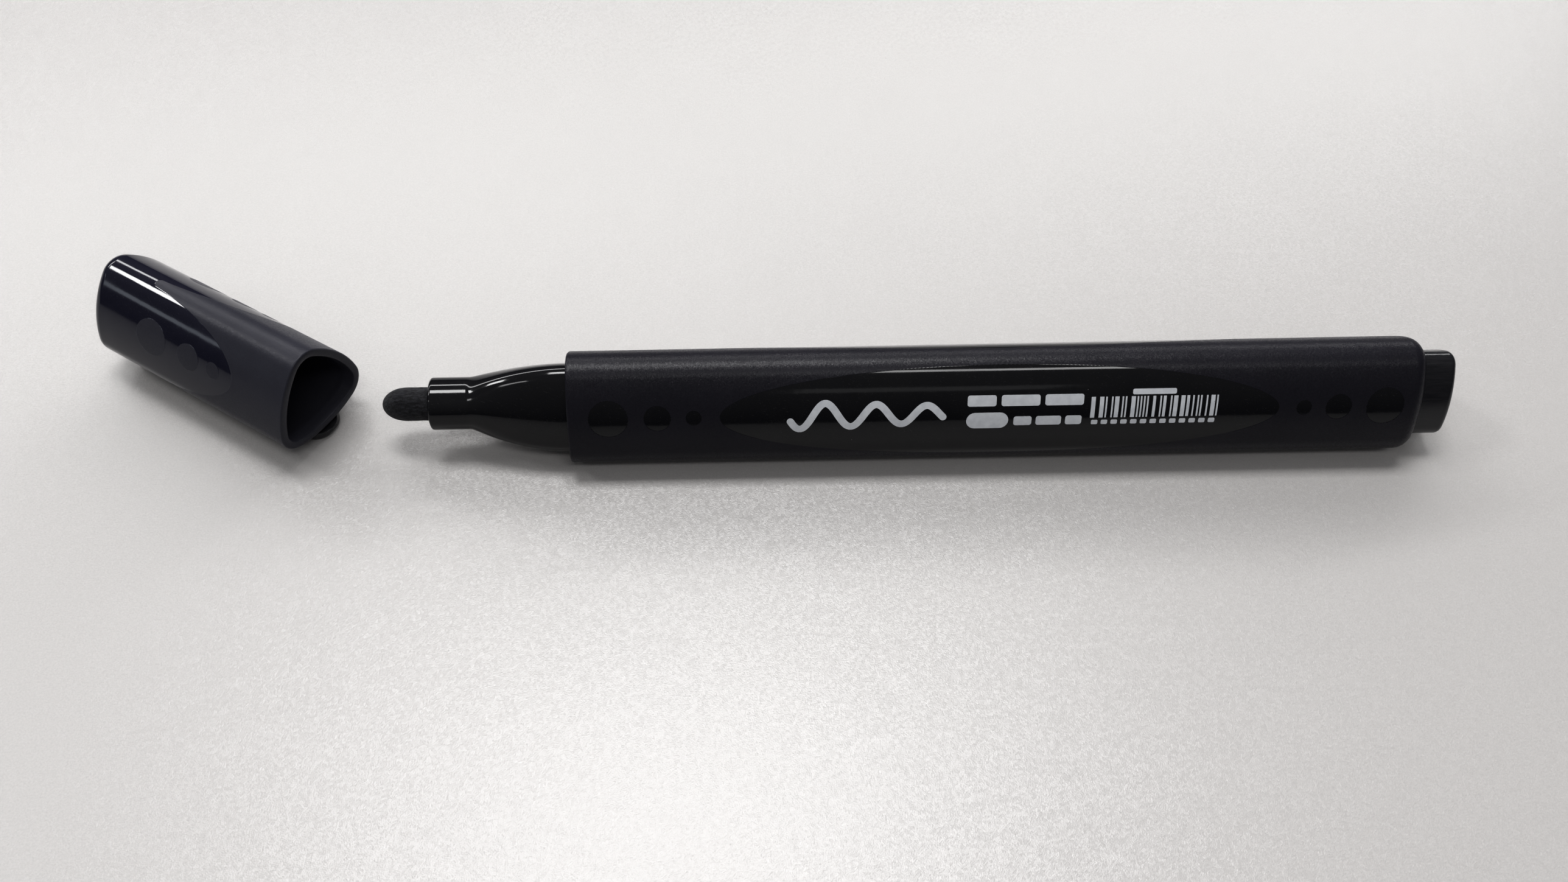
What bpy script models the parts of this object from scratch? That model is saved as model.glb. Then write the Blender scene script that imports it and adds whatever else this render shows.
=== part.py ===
"""Dry-wipe felt tip marker with a bullet nib, lying on one flat side, with its cap off beside it.

The barrel, its front section and its rear plug share one rounded triangular outline, so the cap
slides over either end. Sizes are in millimetres here and are scaled to metres as meshes are made.
+X runs from the nib to the rear plug, +Z is up, and the origin is on the table, in the middle
of the barrel's underside.
"""
import math

import bmesh
import bpy
from mathutils import Matrix

MM = 0.001

# The rounded triangle: three slightly crowned sides joined by round corners. Its size is the
# apothem, the distance from the axis to the middle of a side, and larger outlines are parallel.
SIDE_ARC_CENTRE = 8.77
CORNER_INSET = 2.68
SIDE_STEPS = 5
CORNER_STEPS = 7
SIDES = 3

# Barrel: an open tube that widens a little towards the rear.
BARREL_LENGTH = 104.3
BARREL_FRONT = 5.97
BARREL_REAR = 6.25
BARREL_BORE = 4.86
BARREL_FRONT_ROUND = 0.25
BARREL_REAR_ROUND = 1.8

# Front section: a spigot in the barrel, a flare outside it and a round nozzle that grips the nib.
SPIGOT = 4.58
SPIGOT_DEPTH = 10.0
FLARE_LENGTH = 12.2
NOZZLE_LENGTH = 4.55
NOZZLE_RADIUS = 3.19
NOZZLE_ROUND = 0.3
FLARE_STEPS = 9
FRONT_WALL = 1.0

# Nib: a pressed felt rod with a bullet tip, which reaches back into the ink reservoir.
NIB_RADIUS = 2.05
NIB_EXPOSED = 6.0
NIB_DOME = 2.9
NIB_LENGTH = 38.5
NIB_GAP = 0.15
VENTS = 6
VENT_DEPTH = 0.28

# Ink reservoir: a fibre core in a film sleeve.
CORE_RADIUS = 4.15
SLEEVE_GAP = 0.12
SLEEVE_WALL = 0.25
CORE_START = 10.8
CORE_END_GAP = 0.6

# Rear plug: a cup pressed into the barrel, with a stub outside it.
PLUG = 4.46
PLUG_STUB = 4.3
PLUG_DEPTH = 9.0
PLUG_ROUND = 0.8
PLUG_WALL = 1.2

# Cap, in its own frame: the mouth is at x = 0 and the closed end is at -CAP_LENGTH.
CAP_LENGTH = 31.0
CAP_MOUTH = 5.76
CAP_END = 5.58
CAP_WALL = 1.0
CAP_END_WALL = 1.2
CAP_END_ROUND = 1.5
CAP_MOUTH_ROUND = 0.2
CAP_PLACE = (-82.3, 0.5)
CAP_YAW = math.radians(-32.5)

# Inner seal: a soft cup in the cap's closed end, which shuts round the nozzle.
SEAL_RADIUS = 4.05
SEAL_BORE = 3.34
SEAL_LENGTH = 16.6
SEAL_FLOOR = 0.8
SEAL_GAP = 0.3
SEAL_LIP = 0.3

# Clip: a tongue along the cap's underside, fixed near the closed end.
CLIP_WIDTH = 5.6
CLIP_THICKNESS = 1.2
CLIP_PROUD = 1.62
CLIP_ROOT = -29.4
CLIP_ROOT_LENGTH = 3.2
CLIP_ROOT_GAP = 0.12
CLIP_TIP = 0.45
CLIP_EDGE = 0.32
CLIP_TIP_STEPS = 9

AXIS_SLOPE = math.atan((BARREL_REAR - BARREL_FRONT) / BARREL_LENGTH)
CAP_SLOPE = math.atan((CAP_MOUTH - CAP_END) / CAP_LENGTH)
HALF_BARREL = BARREL_LENGTH / 2
BARREL_MIDDLE = (BARREL_FRONT + BARREL_REAR) / 2


def clear_scene():
    for thing in list(bpy.data.objects):
        bpy.data.objects.remove(thing)


def triangle(x, apothem):
    """A ring of points round the axis at x, on the rounded triangle with that apothem, one side down."""
    side_radius = apothem + SIDE_ARC_CENTRE
    corner_radius = apothem - CORNER_INSET
    reach = SIDE_ARC_CENTRE + CORNER_INSET
    root = math.sqrt(4 * reach**2 - 3 * SIDE_ARC_CENTRE**2)
    corner_centre = (root - SIDE_ARC_CENTRE) / 2
    corner_y = corner_centre * math.cos(math.radians(30))
    corner_z = -corner_centre * math.sin(math.radians(30))
    half_side = math.atan2(corner_y, SIDE_ARC_CENTRE - corner_z)
    points = []
    for side in range(SIDES):
        turn = side * math.tau / SIDES
        for step in range(SIDE_STEPS):
            normal = -math.pi / 2 + half_side * (2 * step / SIDE_STEPS - 1)
            y = side_radius * math.cos(normal)
            z = SIDE_ARC_CENTRE + side_radius * math.sin(normal)
            points.append(turned(x, y, z, turn))
        corner_angle = math.tau / SIDES - 2 * half_side
        for step in range(CORNER_STEPS):
            normal = -math.pi / 2 + half_side + corner_angle * step / CORNER_STEPS
            y = corner_y + corner_radius * math.cos(normal)
            z = corner_z + corner_radius * math.sin(normal)
            points.append(turned(x, y, z, turn))
    return points


def turned(x, y, z, angle):
    cos, sin = math.cos(angle), math.sin(angle)
    return (x, y * cos - z * sin, y * sin + z * cos)


def circle(x, radius):
    """A ring of points on a circle, at the directions of the triangle's own points."""
    directions = [math.atan2(z, y) for _, y, z in triangle(x, SPIGOT)]
    return [(x, radius * math.cos(d), radius * math.sin(d)) for d in directions]


def between(ring_a, ring_b, share, x):
    """A ring at x that is partway from ring_a's outline to ring_b's."""
    return [
        (x, a[1] + (b[1] - a[1]) * share, a[2] + (b[2] - a[2]) * share)
        for a, b in zip(ring_a, ring_b)
    ]


def quarter_round(steps=3):
    """(along, inwards) shares of an edge's radius, from the wall to the end face."""
    angles = [math.pi / 2 * step / steps for step in range(steps + 1)]
    return [(math.sin(a), 1 - math.cos(a)) for a in angles]


def barrel_apothem(x):
    return BARREL_MIDDLE + (BARREL_REAR - BARREL_FRONT) * x / BARREL_LENGTH


def cap_apothem(x):
    return CAP_MOUTH + (CAP_MOUTH - CAP_END) * x / CAP_LENGTH


def flare_share(x_from_nozzle):
    """How far the flare has grown from the nozzle's circle to the spigot's triangle."""
    return 1 - (1 - x_from_nozzle / FLARE_LENGTH) ** 2


def mesh_from_rings(name, rings, closed_loop=False):
    """One closed mesh through rings of points. It is capped at both ends, or it meets itself."""
    mesh = bpy.data.meshes.new(name)
    built = bmesh.new()
    loops = [[built.verts.new([c * MM for c in point]) for point in ring] for ring in rings]
    pairs = list(zip(loops, loops[1:]))
    if closed_loop:
        pairs.append((loops[-1], loops[0]))
    else:
        built.faces.new(loops[0])
        built.faces.new(loops[-1])
    for first, second in pairs:
        for i in range(len(first)):
            j = (i + 1) % len(first)
            built.faces.new((first[i], first[j], second[j], second[i]))
    bmesh.ops.recalc_face_normals(built, faces=built.faces)
    if built.calc_volume(signed=True) < 0:
        bmesh.ops.reverse_faces(built, faces=built.faces)
    built.to_mesh(mesh)
    built.free()
    return mesh


def material(name, colour, roughness, metallic=0.0):
    made = bpy.data.materials.new(name)
    made.use_nodes = True
    shader = made.node_tree.nodes["Principled BSDF"]
    shader.inputs["Base Color"].default_value = (*colour, 1.0)
    shader.inputs["Roughness"].default_value = roughness
    shader.inputs["Metallic"].default_value = metallic
    return made


def place(name, mesh, finish, parent):
    """A named object for one piece, in its parent's frame, with smooth shading on round faces."""
    piece = bpy.data.objects.new(name, mesh)
    bpy.context.scene.collection.objects.link(piece)
    piece.data.materials.append(finish)
    piece.data.shade_smooth()
    piece.data.set_sharp_from_angle(angle=math.radians(35))
    piece.parent = parent
    return piece


def frame_empty(name, matrix):
    empty = bpy.data.objects.new(name, None)
    bpy.context.scene.collection.objects.link(empty)
    empty.matrix_world = matrix
    return empty


def barrel_mesh():
    rings = []
    front, rear = -HALF_BARREL, HALF_BARREL
    for along, inwards in reversed(quarter_round(2)):
        x = front + BARREL_FRONT_ROUND * (1 - along)
        rings.append(triangle(x, barrel_apothem(x) - BARREL_FRONT_ROUND * inwards))
    for along, inwards in quarter_round(4):
        x = rear - BARREL_REAR_ROUND * (1 - along)
        rings.append(triangle(x, barrel_apothem(x) - BARREL_REAR_ROUND * inwards))
    rings.append(triangle(rear, BARREL_BORE))
    rings.append(triangle(front, BARREL_BORE))
    return mesh_from_rings("barrel", rings, closed_loop=True)


def vented(ring, depth):
    """The nib's bore, with a narrow groove at each of VENTS places round it."""
    grooved = []
    spacing = len(ring) // VENTS
    for index, (x, y, z) in enumerate(ring):
        radius = math.hypot(y, z)
        grow = (radius + depth) / radius if index % spacing == 0 else 1.0
        grooved.append((x, y * grow, z * grow))
    return grooved


def front_section_mesh():
    """The outside runs from the spigot's end to the nozzle, and the inside runs back again."""
    root = -HALF_BARREL
    nozzle = root - FLARE_LENGTH
    face = nozzle - NOZZLE_LENGTH
    spigot_end = root + SPIGOT_DEPTH
    rings = [triangle(spigot_end, SPIGOT - FRONT_WALL), triangle(spigot_end, SPIGOT)]
    for step in range(FLARE_STEPS + 1):
        x_from_nozzle = FLARE_LENGTH * (1 - step / FLARE_STEPS)
        x = nozzle + x_from_nozzle
        share = flare_share(x_from_nozzle)
        rings.append(between(circle(x, NOZZLE_RADIUS), triangle(x, SPIGOT), share, x))
    for along, inwards in quarter_round(2):
        x = face + NOZZLE_ROUND * (1 - along)
        rings.append(circle(x, NOZZLE_RADIUS - NOZZLE_ROUND * inwards))
    bore = circle(face, NIB_RADIUS + NIB_GAP)
    rings.append(vented(bore, VENT_DEPTH))
    bore_end = nozzle + FRONT_WALL
    rings.append(vented(circle(bore_end, NIB_RADIUS + NIB_GAP), VENT_DEPTH))
    chamber = root - FLARE_LENGTH / 3
    rings.append(triangle(chamber, SPIGOT - FRONT_WALL))
    return mesh_from_rings("front_section", rings, closed_loop=True)


def nib_mesh():
    tip = -HALF_BARREL - FLARE_LENGTH - NOZZLE_LENGTH - NIB_EXPOSED
    steps = 6
    rings = []
    for step in range(1, steps + 1):
        angle = math.pi / 2 * step / steps
        x = tip + NIB_DOME * (1 - math.cos(angle))
        rings.append(circle(x, NIB_RADIUS * math.sin(angle)))
    end = tip + NIB_LENGTH
    taper = 1.0
    rings.append(circle(end - taper, NIB_RADIUS))
    rings.append(circle(end, NIB_RADIUS - taper / 3))
    return mesh_from_rings("nib", rings)


def reservoir_ends():
    start = -HALF_BARREL + CORE_START
    end = HALF_BARREL - PLUG_DEPTH - CORE_END_GAP
    return start, end


def ink_reservoir_mesh():
    """A fibre rod with the pocket that the nib is pushed into."""
    start, end = reservoir_ends()
    pocket_radius = NIB_RADIUS + NIB_GAP
    nib_end = -HALF_BARREL - FLARE_LENGTH - NOZZLE_LENGTH - NIB_EXPOSED + NIB_LENGTH
    pocket_end = nib_end + CORE_END_GAP
    rings = [
        circle(pocket_end, pocket_radius),
        circle(start, pocket_radius),
        circle(start, CORE_RADIUS),
        circle(end, CORE_RADIUS),
    ]
    return mesh_from_rings("ink_reservoir", rings)


def reservoir_sleeve_mesh():
    start, end = reservoir_ends()
    inner = CORE_RADIUS + SLEEVE_GAP
    outer = inner + SLEEVE_WALL
    rings = [circle(start, inner), circle(start, outer), circle(end, outer), circle(end, inner)]
    return mesh_from_rings("reservoir_sleeve", rings, closed_loop=True)


def rear_plug_mesh():
    inner_end = HALF_BARREL - PLUG_DEPTH
    outer_end = HALF_BARREL + PLUG_STUB
    hollow = PLUG - PLUG_WALL
    rings = [
        triangle(outer_end - PLUG_WALL, hollow),
        triangle(inner_end, hollow),
        triangle(inner_end, PLUG),
    ]
    for along, inwards in quarter_round():
        x = outer_end - PLUG_ROUND * (1 - along)
        rings.append(triangle(x, PLUG - PLUG_ROUND * inwards))
    return mesh_from_rings("rear_plug", rings)


def cap_shell_mesh():
    rings = []
    for along, inwards in reversed(quarter_round()):
        x = -CAP_LENGTH + CAP_END_ROUND * (1 - along)
        rings.append(triangle(x, cap_apothem(x) - CAP_END_ROUND * inwards))
    for along, inwards in quarter_round(2):
        x = -CAP_MOUTH_ROUND * (1 - along)
        rings.append(triangle(x, cap_apothem(x) - CAP_MOUTH_ROUND * inwards))
    rings.append(triangle(0.0, CAP_MOUTH - CAP_WALL))
    floor = -CAP_LENGTH + CAP_END_WALL
    rings.append(triangle(floor, cap_apothem(floor) - CAP_WALL))
    return mesh_from_rings("cap_shell", rings)


def cap_seal_mesh():
    back = -CAP_LENGTH + CAP_END_WALL + SEAL_GAP
    front = back + SEAL_LENGTH
    rings = [
        circle(back, SEAL_RADIUS),
        circle(front, SEAL_RADIUS),
        circle(front, SEAL_BORE + SEAL_LIP),
        circle(front - SEAL_LIP, SEAL_BORE),
        circle(back + SEAL_FLOOR, SEAL_BORE),
    ]
    return mesh_from_rings("cap_seal", rings)


def clip_slice(x, half_width, top, bottom):
    """A ring across the clip at x: a rectangle with its lower edges rounded off."""
    edge = min(CLIP_EDGE, half_width / 2)
    return [
        (x, -half_width, top),
        (x, -half_width, bottom + edge),
        (x, -half_width + edge * 0.3, bottom + edge * 0.3),
        (x, -half_width + edge, bottom),
        (x, half_width - edge, bottom),
        (x, half_width - edge * 0.3, bottom + edge * 0.3),
        (x, half_width, bottom + edge),
        (x, half_width, top),
    ]


def cap_clip_mesh():
    """The tongue in its own frame: x starts at its hinge line, which is on the cap's underside."""
    bottom = -CLIP_PROUD
    tongue_top = bottom + CLIP_THICKNESS
    root_top = -CLIP_ROOT_GAP
    length = CLIP_TIP - CLIP_ROOT
    half_width = CLIP_WIDTH / 2
    rings = [
        clip_slice(0.0, half_width - CLIP_EDGE, root_top, bottom + CLIP_EDGE),
        clip_slice(CLIP_EDGE, half_width, root_top, bottom),
        clip_slice(CLIP_ROOT_LENGTH, half_width, root_top, bottom),
        clip_slice(CLIP_ROOT_LENGTH + CLIP_EDGE, half_width, tongue_top, bottom),
    ]
    round_start = length - half_width
    for step in range(CLIP_TIP_STEPS):
        angle = math.pi / 2 * step / CLIP_TIP_STEPS
        x = round_start + half_width * math.sin(angle)
        lift = CLIP_EDGE * (1 - math.cos(angle))
        rings.append(clip_slice(x, half_width * math.cos(angle), tongue_top, bottom + lift))
    return mesh_from_rings("cap_clip", rings)


def build():
    clear_scene()
    satin = material("satin_black_plastic", (0.012, 0.012, 0.014), 0.5)
    gloss = material("gloss_black_plastic", (0.006, 0.006, 0.007), 0.12)
    felt = material("inked_felt", (0.02, 0.02, 0.022), 0.95)
    fibre = material("ink_fibre", (0.03, 0.03, 0.035), 0.95)
    film = material("clear_film", (0.55, 0.56, 0.58), 0.25)
    seal = material("soft_seal_plastic", (0.04, 0.04, 0.045), 0.4)

    lift = BARREL_MIDDLE * math.cos(AXIS_SLOPE) * MM
    marker_frame = frame_empty(
        "marker_frame", Matrix.Translation((0, 0, lift)) @ Matrix.Rotation(-AXIS_SLOPE, 4, "Y")
    )
    place("barrel", barrel_mesh(), satin, marker_frame)
    place("front_section", front_section_mesh(), gloss, marker_frame)
    place("nib", nib_mesh(), felt, marker_frame)
    place("ink_reservoir", ink_reservoir_mesh(), fibre, marker_frame)
    place("reservoir_sleeve", reservoir_sleeve_mesh(), film, marker_frame)
    place("rear_plug", rear_plug_mesh(), gloss, marker_frame)

    cap_height = (CAP_MOUTH * math.cos(CAP_SLOPE) + CLIP_PROUD) * MM
    cap_place = Matrix.Translation((CAP_PLACE[0] * MM, CAP_PLACE[1] * MM, cap_height))
    cap_turn = Matrix.Rotation(CAP_YAW, 4, "Z") @ Matrix.Rotation(-CAP_SLOPE, 4, "Y")
    cap_frame = frame_empty("cap_frame", cap_place @ cap_turn)
    place("cap_shell", cap_shell_mesh(), satin, cap_frame)
    place("cap_seal", cap_seal_mesh(), seal, cap_frame)
    clip = place("cap_clip", cap_clip_mesh(), satin, cap_frame)
    clip.location = (CLIP_ROOT * MM, 0, -cap_apothem(CLIP_ROOT) * MM)
    clip.rotation_euler = (0, CAP_SLOPE, 0)


build()
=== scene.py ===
"""Looks of the dry-wipe marker and its cap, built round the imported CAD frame.

Lengths are in millimetres until a mesh is made. The marker and the cap each have a frame of
their own, with x along the piece and the section's middle on the axis, as in the CAD.
"""
import math
import random

import bmesh
import bpy
from mathutils import Matrix, Vector, noise
from mathutils.geometry import delaunay_2d_cdt
from mathutils.kdtree import KDTree


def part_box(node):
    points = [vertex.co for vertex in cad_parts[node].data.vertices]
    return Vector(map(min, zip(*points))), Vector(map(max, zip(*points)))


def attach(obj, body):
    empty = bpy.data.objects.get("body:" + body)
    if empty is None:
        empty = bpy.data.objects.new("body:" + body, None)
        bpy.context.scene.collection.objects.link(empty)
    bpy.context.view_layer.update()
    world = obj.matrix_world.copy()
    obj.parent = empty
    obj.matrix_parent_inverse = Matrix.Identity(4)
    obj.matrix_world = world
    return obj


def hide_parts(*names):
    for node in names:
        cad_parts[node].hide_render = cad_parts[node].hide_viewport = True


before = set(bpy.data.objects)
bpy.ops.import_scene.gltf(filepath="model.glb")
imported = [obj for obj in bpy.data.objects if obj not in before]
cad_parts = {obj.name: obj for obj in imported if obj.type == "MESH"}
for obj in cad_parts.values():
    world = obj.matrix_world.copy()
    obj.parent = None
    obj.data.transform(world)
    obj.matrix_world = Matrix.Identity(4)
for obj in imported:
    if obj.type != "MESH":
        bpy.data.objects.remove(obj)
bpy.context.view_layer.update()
MM = 0.001

# The rounded triangle, as in the CAD: three crowned sides joined by round corners.
SIDE_ARC_CENTRE = 8.77
CORNER_INSET = 2.68
FACES = 3
FACE_TURN = math.tau / FACES
COLUMNS = 36
CELL = 0.55

# Places along the marker, from the frame.
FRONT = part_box("barrel")[0].x / MM
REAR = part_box("barrel")[1].x / MM
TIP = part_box("nib")[0].x / MM
PLUG_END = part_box("rear_plug")[1].x / MM
BARREL_LENGTH = REAR - FRONT
BARREL_FRONT = 5.97
BARREL_REAR = 6.25
BARREL_MIDDLE = (BARREL_FRONT + BARREL_REAR) / 2
BARREL_BORE = 4.86
FRONT_ROUND = 0.25
REAR_ROUND = 1.8
SPIGOT = 4.58
SPIGOT_DEPTH = 10.0
FLARE_LENGTH = 12.2
NOZZLE_LENGTH = 4.55
NOZZLE_RADIUS = 3.19
NOZZLE_ROUND = 0.3
NIB_RADIUS = 2.05
NIB_GAP = 0.10
NIB_DOME = 2.9
VENTS = 6
VENT_DEPTH = 0.22
FRONT_WALL = 1.0
EDGE_RING = 0.1
BORE_EDGE = 0.1
NIB_BORE_EDGE = 0.12
NIB_BORE_LENGTH = NOZZLE_LENGTH + 1.0
PLUG = 4.46
PLUG_ROUND = 0.8
PLUG_WALL = 1.2

# Moulding mark in the plug's end face: (rise, radius) of its rings, from the outside in.
PLUG_MARK = (
    (0, 3.0), (0, 1.1), (0, 1.05), (-0.06, 1.0), (-0.06, 0.95), (-0.06, 0.3), (-0.02, 0.26),
)

# Felt nib: relief along its fibres and over its tip, and the loose fibres that stand off it.
FELT_RIDGE = 0.030
FELT_FINE_RIDGE = 0.016
FELT_PIT = 0.03
FELT_SHRINK = 0.02
LOOSE_FIBRES = 130
LOOSE_ZONE = (0.05, 5.0)
LOOSE_LENGTHS = (0.25, 0.8)
LOOSE_RADII = (0.004, 0.009)

# Polished panel and dots on each side of the barrel. The dots are placed from the panel's middle.
PANEL_SHIFT = -0.2
PANEL_HALF_LENGTH = 33.9
PANEL_HALF_WIDTH = 5.95
DOT_PLACES = (37.0, 41.3, 47.1)
DOT_RADII = (0.95, 1.62, 2.35)
RECESS = 0.02
RECESS_EDGE = 0.045

# Cap, measured from its mouth towards its closed end, and its polished panel with matte dots.
CAP_LENGTH = 31.0
CAP_MOUTH = 5.76
CAP_END = 5.58
CAP_WALL = 1.0
CAP_END_WALL = 1.2
CAP_END_ROUND = 1.5
CAP_MOUTH_ROUND = 0.2
CAP_PLACE = (-82.3, 0.5)
CAP_YAW = math.radians(-32.5)
CAP_PANEL_CENTRE = -25.6
CAP_PANEL_LENGTH = 17.7
CAP_PANEL_HALF_WIDTH = 6.35
CAP_TONGUE = -22.2
CAP_DOT_PLACES = (-20.9, -14.9, -10.95)
CAP_DOT_RADII = (2.35, 1.7, 1.05)

# Inside the cap's mouth: (place, rise) of the rings of its edge and its shallow snap bead.
CAP_MOUTH_INSIDE = (
    (0, -0.14), (-0.05, -0.05), (-0.16, 0), (-1.1, 0.02),
    (-1.3, 0.10), (-1.7, 0.12), (-2.0, 0.06), (-2.3, 0.04),
)

# Clip: a root block against the cap, a step up to the tongue, and the tongue's round tip.
CLIP_PROUD = 1.62
CLIP_THICKNESS = 1.2
CLIP_WIDTH = 5.6
CLIP_ROOT = -29.4
CLIP_ROOT_GAP = 0.12
CLIP_TIP = 0.45
CLIP_DOME = 0.35
CLIP_OUTER_EDGE = 0.28
CLIP_INNER_EDGE = 0.12
CLIP_INNER_WIDTH = 0.985
CLIP_HEEL = 0.6
CLIP_HEEL_RISE = 0.5
CLIP_HEEL_INSET = 0.35
CLIP_TONGUE_START = 4.0
CLIP_TIP_RISE = 0.75

# Generic print on the panel that faces up front. Places run along the barrel and rows round it.
PRINT_FACE = 2
PRINT_HEIGHT = 0.012
PRINT_SPACING = 0.45
WAVE_START = -25.7
WAVE_LENGTH = 18.3
WAVE_STEPS = 90
WAVE_CYCLES = 3
WAVE_PHASE = 0.4
WAVE_HEIGHT = 1.75
WAVE_FADE = 0.4
WAVE_STROKE = 0.9
BAR_ROUND = 0.3
LOWER_BARS = ((-4.5, -1.0), (-0.4, 4.3), (4.9, 9.6))
LOWER_ROW = (-2.25, -0.85)
UPPER_BARS = ((1.2, 3.4), (3.9, 7.0), (7.5, 9.5))
UPPER_ROW = (0.5, 1.7)
PILL = (-4.55, 0.57, -0.05, 2.04)
PILL_ROUND = 1.05
CAPTION = (15.5, 20.85, -2.75, -2.05)
CAPTION_ROUND = 0.2
STRIPES = (10.5, 26.1)
STRIPE_ROW = (-1.83, 0.86)
STRIPE_WIDTHS = (0.2, 0.2, 0.36, 0.52)
STRIPE_ROUND = 0.02
TABS = (10.7, 25.4)
TAB_ROW = (1.15, 1.75)
TAB_LENGTH = 0.8
TAB_PITCH = 1.2
TAB_ROUND = 0.15

# Room: how grey it is by height, from the horizon up.
ROOM_GRADE = ((0.0, (0.045, 0.047, 0.055, 1)), (0.8, (0.30, 0.30, 0.305, 1)))
PICTURE_GAMMA = 0.8
PICTURE_EXPOSURE = 0.05

# Camera: its place in mm, its lens, and how far it looks down, turns right and rolls, in degrees.
CAMERA_PLACE = (-35.29, -99.06, 134.34)
CAMERA_LENS = 30.25
CAMERA_DOWN = 54.10
CAMERA_YAW = 5.47
CAMERA_ROLL = 3.39

# Table and lights, in metres and watts. Ceiling panels: place and size in shares of the height.
TABLE_REACH = 6.0
CEILING_HEIGHT = 1.8
CEILING_PANELS = (
    ("ceiling_overhead", (-0.06, 0.30), (0.52, 0.26), 24),
    ("ceiling_near", (0.20, -0.50), (0.62, 0.17), 9.5),
    ("ceiling_near_left", (-0.75, -0.46), (0.34, 0.15), 4),
    ("ceiling_behind_viewer", (0.3, -1.6), (0.4, 0.25), 0.6),
    ("ceiling_left", (-0.98, 0.28), (0.25, 0.30), 16),
)

# Panels that face the object: direction, distance, size, power, colour, and if gloss shows them.
NEUTRAL = (1.0, 1.0, 1.0)
DAYLIGHT = (0.85, 0.92, 1.0)
FACING_PANELS = (
    ("wall_back", (0.1, 1.0, 0.66), 1.9, (3.2, 1.2), 20, NEUTRAL, False),
    ("strip_back", (-0.22, 1.0, 0.8), 0.55, (1.3, 0.05), 2.3, NEUTRAL, True),
    ("fill_front", (-0.1, -1.0, 0.9), 1.9, (2.4, 1.0), 1.2, NEUTRAL, False),
    ("window_left", (-0.93, -0.23, 0.28), 1.6, (1.1, 0.08), 0.6, DAYLIGHT, True),
)

AXIS_SLOPE = math.atan((BARREL_REAR - BARREL_FRONT) / BARREL_LENGTH)
CAP_SLOPE = math.atan((CAP_MOUTH - CAP_END) / CAP_LENGTH)
CORNER_REACH = SIDE_ARC_CENTRE + CORNER_INSET
CORNER_CENTRE = (
    math.sqrt(4 * CORNER_REACH**2 - 3 * SIDE_ARC_CENTRE**2) - SIDE_ARC_CENTRE
) / 2
CORNER_Y = CORNER_CENTRE * math.cos(math.radians(30))
CORNER_Z = -CORNER_CENTRE * math.sin(math.radians(30))
HALF_SIDE = math.atan2(CORNER_Y, SIDE_ARC_CENTRE - CORNER_Z)


def side_arc(apothem):
    return (apothem + SIDE_ARC_CENTRE) * HALF_SIDE


def half_arc(apothem):
    """Length along the outline from the middle of a side to the middle of a corner."""
    return side_arc(apothem) + (apothem - CORNER_INSET) * (FACE_TURN / 2 - HALF_SIDE)


def lean_of(arc, apothem):
    """The normal's lean from its side's own normal, at that length along the outline."""
    side = side_arc(apothem)
    if abs(arc) <= side:
        return arc / (apothem + SIDE_ARC_CENTRE)
    beyond = (abs(arc) - side) / (apothem - CORNER_INSET)
    return math.copysign(HALF_SIDE + beyond, arc)


def on_outline(x, apothem, lean, face):
    """A point on the outline at x, where the normal leans that much on that side."""
    direction = lean - math.pi / 2
    if abs(lean) <= HALF_SIDE:
        y = (apothem + SIDE_ARC_CENTRE) * math.cos(direction)
        z = SIDE_ARC_CENTRE + (apothem + SIDE_ARC_CENTRE) * math.sin(direction)
    else:
        y = math.copysign(CORNER_Y, lean) + (apothem - CORNER_INSET) * math.cos(direction)
        z = CORNER_Z + (apothem - CORNER_INSET) * math.sin(direction)
    cos, sin = math.cos(face * FACE_TURN), math.sin(face * FACE_TURN)
    return Vector((x, y * cos - z * sin, y * sin + z * cos))


def outline_normal(point):
    """The outline's outward normal at a point on or near it."""
    around = math.atan2(point.z, point.y) + math.pi / 2
    face = round(around / FACE_TURN)
    cos, sin = math.cos(-face * FACE_TURN), math.sin(-face * FACE_TURN)
    y, z = point.y * cos - point.z * sin, point.y * sin + point.z * cos
    lean = math.atan2(y, SIDE_ARC_CENTRE - z)
    if abs(lean) > HALF_SIDE:
        lean = math.atan2(y - math.copysign(CORNER_Y, y), CORNER_Z - z)
    direction = lean - math.pi / 2 + face * FACE_TURN
    return Vector((0, math.cos(direction), math.sin(direction)))


def ring_leans(nominal):
    """(lean, side) of every point of a ring, evenly spaced along the nominal outline."""
    half = half_arc(nominal)
    return [
        (lean_of(half * (2 * column / COLUMNS - 1), nominal), face)
        for face in range(FACES)
        for column in range(COLUMNS)
    ]


def ring(x, apothem, nominal):
    return [on_outline(x, apothem, lean, face) for lean, face in ring_leans(nominal)]


def circle_like(points, x, radius):
    """A circle at x with its points in the same directions as those of another ring."""
    flat = [Vector((0, p.y, p.z)).normalized() * radius for p in points]
    return [Vector((x, p.y, p.z)) for p in flat]


def quarter_round(steps):
    """(along, inwards) shares of an edge's radius, from the wall to the end face."""
    angles = [math.pi / 2 * step / steps for step in range(steps + 1)]
    return [(math.sin(a), 1 - math.cos(a)) for a in angles]


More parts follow.
